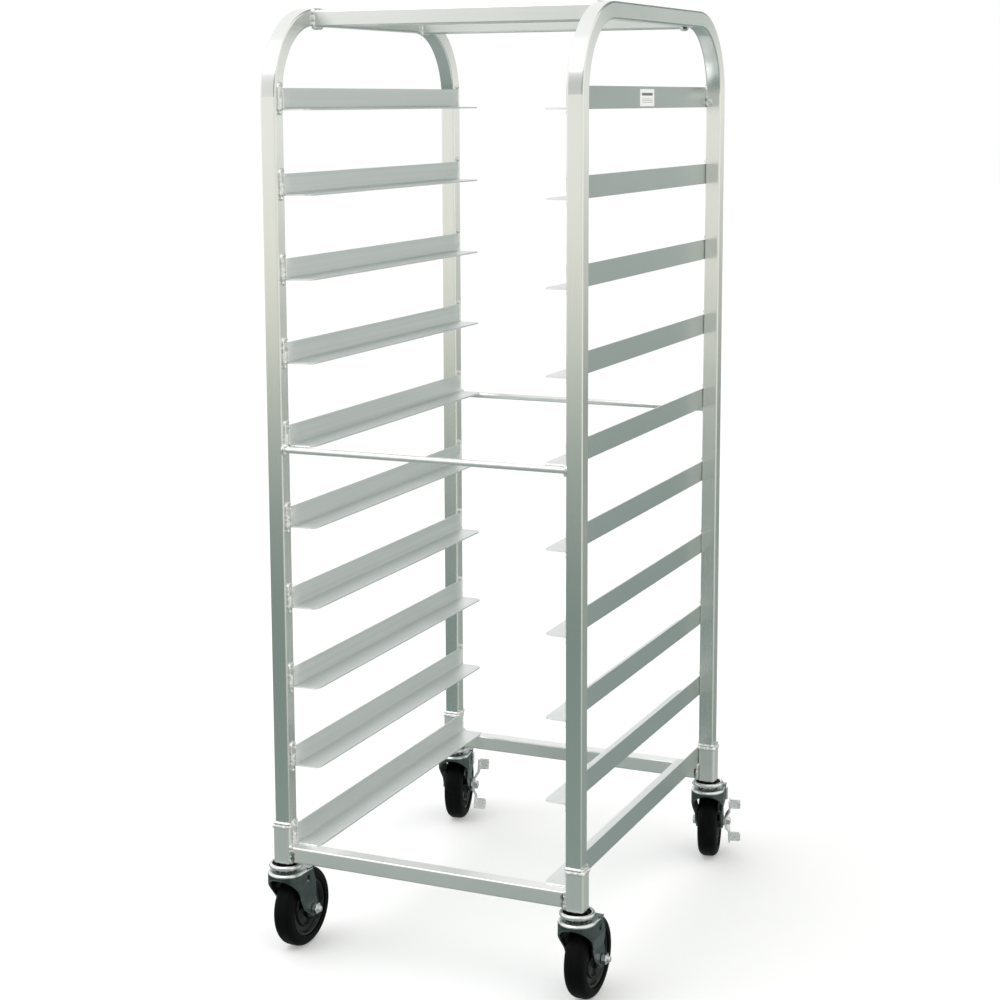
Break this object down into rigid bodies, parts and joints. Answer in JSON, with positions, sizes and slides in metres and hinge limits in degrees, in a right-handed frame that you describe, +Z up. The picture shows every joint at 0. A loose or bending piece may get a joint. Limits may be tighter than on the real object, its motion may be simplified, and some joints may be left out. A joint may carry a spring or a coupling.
{
  "type": "sheet pan rack",
  "caption": "Tall open aluminium rack with pairs of angle slides for sheet pans on two bent tube side frames, rolling on swivel casters, the rear ones braked.",
  "frame": {"origin": "on the floor under the middle of the whole outline, casters at rest", "axes": "+X to the right seen from the loading side, +Y from the front to the back, +Z up"},
  "size_m": [0.5813, 0.7695, 1.477],
  "materials": {
    "tube_aluminium": "satin mill finish square tube",
    "slide_aluminium": "satin extruded angle, faint lengthwise lines",
    "weld": "bright weld bead",
    "zinc": "bright zinc plate",
    "fork_steel": "zinc plated pressed steel",
    "ball_steel": "polished",
    "tyre_rubber": "black moulded rubber",
    "wheel_core": "black moulded core",
    "label": "white film label"
  },
  "bodies": {
    "frame": {"left_side_frame": "tube_aluminium", "right_side_frame": "tube_aluminium", "top_front_tube": "tube_aluminium", "top_rear_tube": "tube_aluminium", "bottom_front_tube": "tube_aluminium", "bottom_rear_tube": "tube_aluminium", "front_tie_rod": "tube_aluminium", "rear_tie_rod": "tube_aluminium", "left_slide_01": "slide_aluminium", "left_slide_02": "slide_aluminium", "left_slide_03": "slide_aluminium", "left_slide_04": "slide_aluminium", "left_slide_05": "slide_aluminium", "left_slide_06": "slide_aluminium", "left_slide_07": "slide_aluminium", "left_slide_08": "slide_aluminium", "left_slide_09": "slide_aluminium", "left_slide_10": "slide_aluminium", "right_slide_01": "slide_aluminium", "right_slide_02": "slide_aluminium", "right_slide_03": "slide_aluminium", "right_slide_04": "slide_aluminium", "right_slide_05": "slide_aluminium", "right_slide_06": "slide_aluminium", "right_slide_07": "slide_aluminium", "right_slide_08": "slide_aluminium", "right_slide_09": "slide_aluminium", "right_slide_10": "slide_aluminium", "socket_fl": "tube_aluminium", "socket_fr": "tube_aluminium", "socket_rl": "tube_aluminium", "socket_rr": "tube_aluminium", "caster_stems": "zinc", "upper_races": "zinc", "swivel_balls": "ball_steel", "slide_welds": "weld", "frame_welds": "weld", "id_label": "label"},
    "swivel_fl": {"fork_fl": "fork_steel", "axle_fl": "zinc"},
    "wheel_fl": {"tyre_fl": "tyre_rubber", "hub_fl": "wheel_core"},
    "swivel_fr": {"fork_fr": "fork_steel", "axle_fr": "zinc"},
    "wheel_fr": {"tyre_fr": "tyre_rubber", "hub_fr": "wheel_core"},
    "swivel_rl": {"fork_rl": "fork_steel", "axle_rl": "zinc", "brake_post_rl": "zinc"},
    "wheel_rl": {"tyre_rl": "tyre_rubber", "hub_rl": "wheel_core"},
    "brake_rl": {"brake_lever_rl": "zinc"},
    "swivel_rr": {"fork_rr": "fork_steel", "axle_rr": "zinc", "brake_post_rr": "zinc"},
    "wheel_rr": {"tyre_rr": "tyre_rubber", "hub_rr": "wheel_core"},
    "brake_rr": {"brake_lever_rr": "zinc"}
  },
  "joints": [
    {"name": "swivel_fl", "type": "hinge", "parent": "frame", "child": "swivel_fl", "pos_m": [-0.2463, -0.3561, 0.141], "axis": [0, 0, 1], "continuous": true},
    {"name": "roll_fl", "type": "hinge", "parent": "swivel_fl", "child": "wheel_fl", "pos_m": [-0.24382, -0.31317, 0.0635], "axis": [0.9983, -0.0576, 0], "continuous": true},
    {"name": "swivel_fr", "type": "hinge", "parent": "frame", "child": "swivel_fr", "pos_m": [0.2463, -0.3561, 0.141], "axis": [0, 0, 1], "continuous": true},
    {"name": "roll_fr", "type": "hinge", "parent": "swivel_fr", "child": "wheel_fr", "pos_m": [0.2469, -0.3131, 0.0635], "axis": [0.9999, -0.014, 0], "continuous": true},
    {"name": "swivel_rl", "type": "hinge", "parent": "frame", "child": "swivel_rl", "pos_m": [-0.2463, 0.2789, 0.141], "axis": [0, 0, 1], "continuous": true},
    {"name": "roll_rl", "type": "hinge", "parent": "swivel_rl", "child": "wheel_rl", "pos_m": [-0.25561, 0.32088, 0.0635], "axis": [0.9763, 0.2164, 0], "continuous": true},
    {"name": "brake_rl", "type": "hinge", "parent": "swivel_rl", "child": "brake_rl", "pos_m": [-0.25561, 0.32088, 0.0635], "axis": [0.9763, 0.2164, 0], "range_deg": [0, 40]},
    {"name": "swivel_rr", "type": "hinge", "parent": "frame", "child": "swivel_rr", "pos_m": [0.2463, 0.2789, 0.141], "axis": [0, 0, 1], "continuous": true},
    {"name": "roll_rr", "type": "hinge", "parent": "swivel_rr", "child": "wheel_rr", "pos_m": [0.23758, 0.32101, 0.0635], "axis": [0.9792, 0.2028, 0], "continuous": true},
    {"name": "brake_rr", "type": "hinge", "parent": "swivel_rr", "child": "brake_rr", "pos_m": [0.23758, 0.32101, 0.0635], "axis": [0.9792, 0.2028, 0], "range_deg": [-40, 0]}
  ]
}
